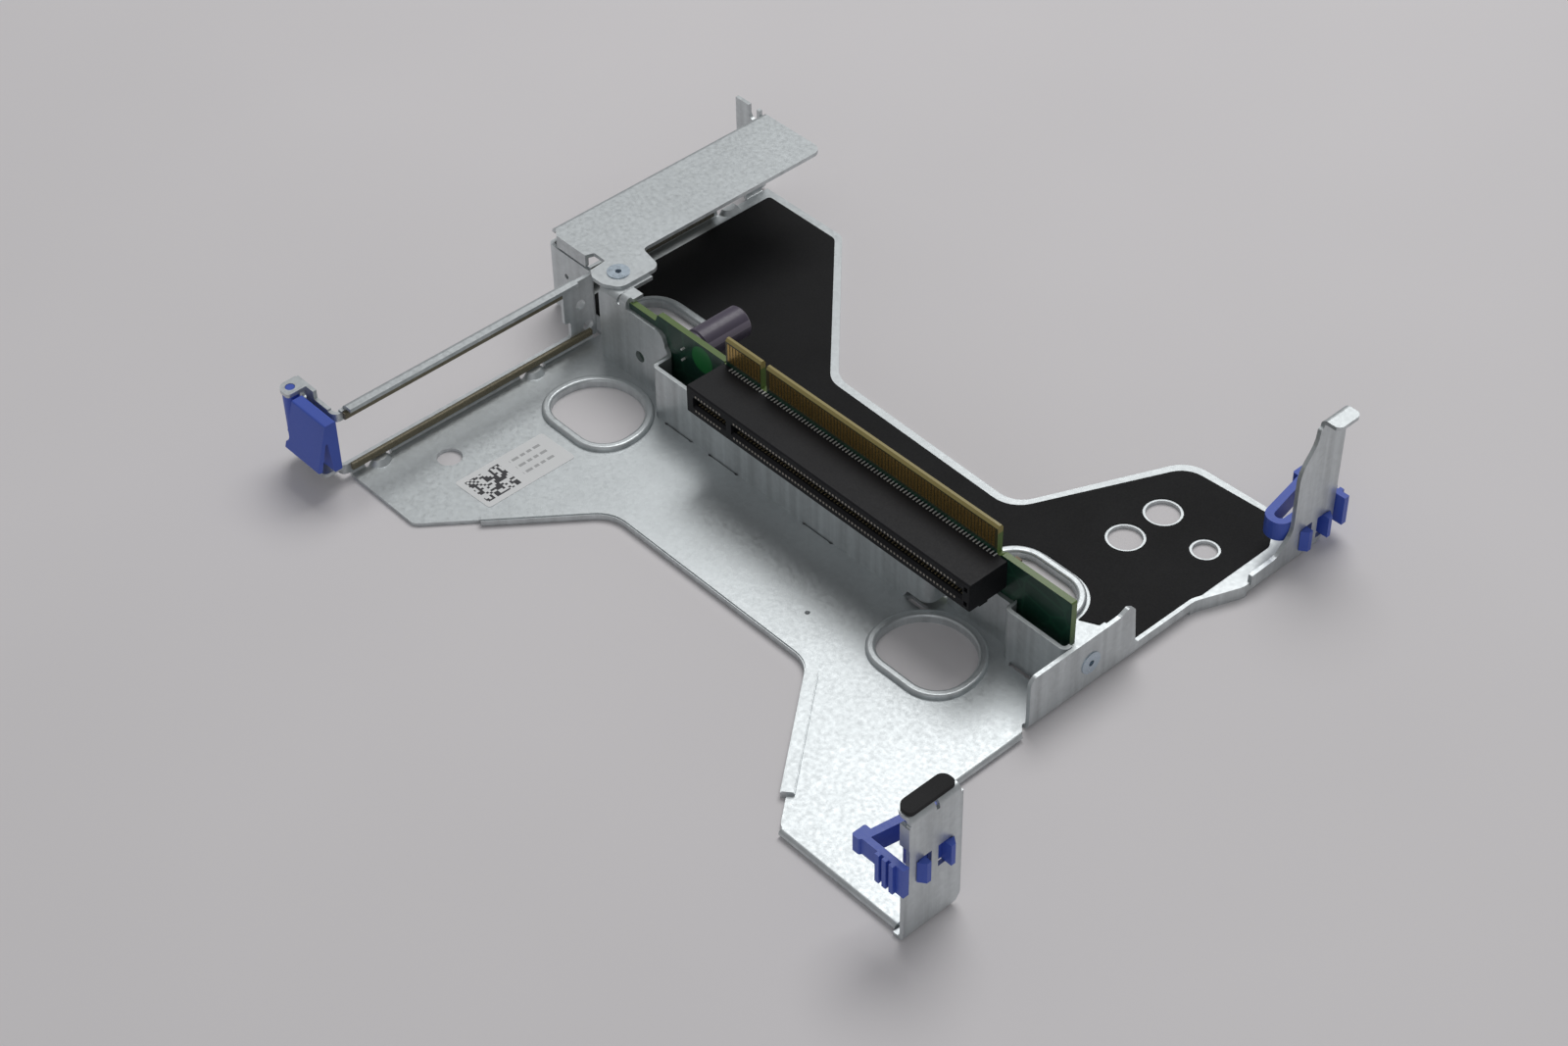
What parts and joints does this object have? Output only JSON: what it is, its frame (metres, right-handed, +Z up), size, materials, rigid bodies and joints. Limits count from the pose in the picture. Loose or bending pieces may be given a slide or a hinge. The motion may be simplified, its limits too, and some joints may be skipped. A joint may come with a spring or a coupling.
{
  "type": "riser cage bracket",
  "caption": "Folded sheet-metal cage with a hand-holed base plate, an upright riser board with a card slot, and blue plastic latches.",
  "frame": {"origin": "on the plate's underside, below the rear end of the board's edge tab, in the plane of the board's near face", "axes": "+X from the rear wall to the front wall, +Y from the slot side to the film side, +Z up from the plate"},
  "size_m": [0.2121, 0.1593, 0.0382],
  "materials": {
    "galvanised": "zinc-coated sheet, fine spangle, satin",
    "film": "black insulating film, matt",
    "laminate": "green solder mask over glass laminate, satin",
    "gold": "gold-plated contact pads, gloss",
    "slot_plastic": "black moulded plastic, satin",
    "contact": "gold-flashed spring contacts",
    "solder": "tin-plated, bright",
    "can_sleeve": "purple-grey sleeve with a bare aluminium end",
    "chip": "small ceramic capacitor",
    "rivet": "blue-white zinc, bright",
    "gasket": "conductive fabric over foam",
    "dark_gasket": "conductive fabric over foam, dark",
    "blue_plastic": "blue moulded plastic, satin",
    "foam": "dark grey foam pad, matt",
    "label": "white label, left bare"
  },
  "bodies": {
    "cage": {"cage_pan": "galvanised", "board_bracket": "galvanised", "insulating_film": "film", "riser_board": "laminate", "edge_contacts_near": "gold", "edge_contacts_far": "gold", "slot_housing": "slot_plastic", "slot_contacts": "contact", "slot_solder_tails": "solder", "bulk_capacitor": "can_sleeve", "capacitor_leads": "solder", "filter_capacitor": "chip", "rear_rivet": "rivet", "front_rivet": "rivet", "upper_gasket": "gasket", "lower_gasket": "gasket", "far_gasket": "dark_gasket", "near_front_latch": "blue_plastic", "far_front_latch": "blue_plastic", "foam_pad": "foam", "id_label": "label"},
    "latch": {"rear_latch": "blue_plastic"}
  },
  "joints": [
    {"name": "rear_latch_hinge", "type": "hinge", "parent": "cage", "child": "latch", "pos_m": [-0.0636, -0.0747, 0.0131], "axis": [0, 0, -1], "range_deg": [0, 70]}
  ]
}
